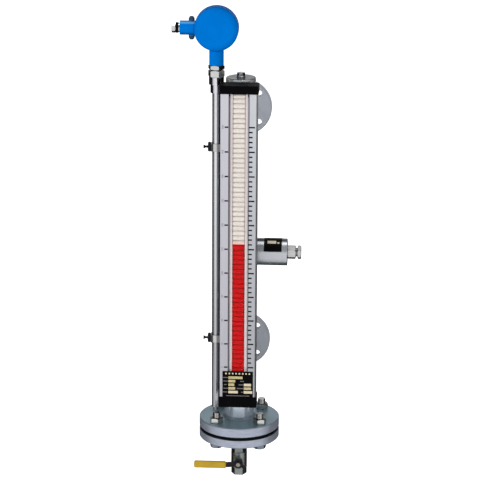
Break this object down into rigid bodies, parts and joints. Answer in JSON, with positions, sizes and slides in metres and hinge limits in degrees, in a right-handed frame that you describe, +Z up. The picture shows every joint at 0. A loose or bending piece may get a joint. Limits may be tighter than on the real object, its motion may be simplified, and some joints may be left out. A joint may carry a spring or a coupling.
{
  "type": "magnetic level gauge",
  "caption": "Upright bypass level gauge: float chamber with flip-roller indicator and scale, side flanges, reed transmitter with blue head, limit switch and drain ball valve.",
  "frame": {"origin": "centre of the lower process flange's mating face", "axes": "+X right seen from the indicator's side, +Y back into the vessel, +Z up along the chamber"},
  "size_m": [0.2608, 0.2075, 0.986],
  "materials": {
    "stainless": "brushed",
    "polished_steel": "polished",
    "dark_steel": "satin black",
    "flange_steel": "turned",
    "process_flange_paint": "matte grey",
    "valve_metal": "dark grey",
    "gasket_rubber": "matte",
    "seal_rubber": "matte",
    "housing_aluminium": "anodised",
    "scale_metal": "satin",
    "window_clear": "clear",
    "black_plastic": "matte",
    "plate_black": "printed plate",
    "label_black": "film",
    "roller_red": "satin red",
    "roller_white": "satin white",
    "tray_white": "matte white",
    "seat_white": "matte white",
    "float_titanium": "drawn",
    "magnet": "sintered",
    "board_green": "board",
    "head_blue": "smooth blue paint",
    "terminal_cream": "matte",
    "switch_steel": "brushed",
    "switch_inside": "matte",
    "grip_yellow": "dipped",
    "nickel": "nickel plated"
  },
  "bodies": {
    "gauge": {"chamber_tube": "stainless", "chamber_cap": "stainless", "vent_plug": "nickel", "upper_nozzle": "stainless", "lower_nozzle": "stainless", "upper_process_flange": "process_flange_paint", "lower_process_flange": "process_flange_paint", "chamber_flange": "flange_steel", "flange_gasket": "gasket_rubber", "drain_flange": "flange_steel", "flange_bolts": "polished_steel", "flange_nuts": "polished_steel", "drain_pipe": "valve_metal", "valve_body": "valve_metal", "valve_end": "valve_metal", "valve_seats": "seat_white", "packing_nut": "nickel", "indicator_housing": "housing_aluminium", "indicator_window": "window_clear", "top_end_cap": "black_plastic", "bottom_end_cap": "black_plastic", "left_scale": "scale_metal", "right_scale": "scale_metal", "nameplate": "plate_black", "indicator_straps": "stainless", "lower_roller_bank": "roller_red", "upper_roller_bank": "roller_white", "flip_tray": "tray_white", "sensor_tube": "polished_steel", "reed_chain": "board_green", "tube_collar": "polished_steel", "conduit_nuts": "nickel", "tube_clamps": "nickel", "clamp_screws": "dark_steel", "chamber_straps": "stainless", "head_body": "head_blue", "head_cover": "head_blue", "terminal_block": "terminal_cream", "head_gland": "nickel", "gland_ring": "seal_rubber", "switch_body": "switch_steel", "switch_cap": "switch_steel", "switch_element": "switch_inside", "switch_label": "label_black", "switch_gland": "nickel", "switch_gland_nut": "nickel"},
    "float": {"float_shell": "float_titanium", "float_magnet": "magnet"},
    "drain_lever": {"valve_ball": "polished_steel", "valve_stem": "stainless", "valve_lever": "dark_steel", "lever_grip": "grip_yellow", "lever_nut": "nickel"},
    "roller_1": {"roller_1": "roller_red"},
    "roller_2": {"roller_2": "roller_red"},
    "roller_3": {"roller_3": "roller_red"},
    "roller_4": {"roller_4": "roller_white"},
    "roller_5": {"roller_5": "roller_white"},
    "roller_6": {"roller_6": "roller_white"}
  },
  "joints": [
    {"name": "float_slide", "type": "slide", "parent": "gauge", "child": "float", "axis": [0, 0, 1], "range_m": [-0.255, 0.245], "stiffness_N_per_m": 16.3, "springref_m": 0.10077},
    {"name": "lever_turn", "type": "hinge", "parent": "gauge", "child": "drain_lever", "pos_m": [0, -0.125, -0.225], "axis": [0, -1, 0], "range_deg": [0, 90]},
    {"name": "roller_1_flip", "type": "hinge", "parent": "gauge", "child": "roller_1", "pos_m": [0, -0.1792, 0.23], "axis": [1, 0, 0], "range_deg": [0, 180]},
    {"name": "roller_2_flip", "type": "hinge", "parent": "gauge", "child": "roller_2", "pos_m": [0, -0.1792, 0.24], "axis": [1, 0, 0], "range_deg": [0, 180]},
    {"name": "roller_3_flip", "type": "hinge", "parent": "gauge", "child": "roller_3", "pos_m": [0, -0.1792, 0.25], "axis": [1, 0, 0], "range_deg": [0, 180]},
    {"name": "roller_4_flip", "type": "hinge", "parent": "gauge", "child": "roller_4", "pos_m": [0, -0.1792, 0.26], "axis": [1, 0, 0], "range_deg": [0, 180]},
    {"name": "roller_5_flip", "type": "hinge", "parent": "gauge", "child": "roller_5", "pos_m": [0, -0.1792, 0.27], "axis": [1, 0, 0], "range_deg": [0, 180]},
    {"name": "roller_6_flip", "type": "hinge", "parent": "gauge", "child": "roller_6", "pos_m": [0, -0.1792, 0.28], "axis": [1, 0, 0], "range_deg": [0, 180]}
  ]
}
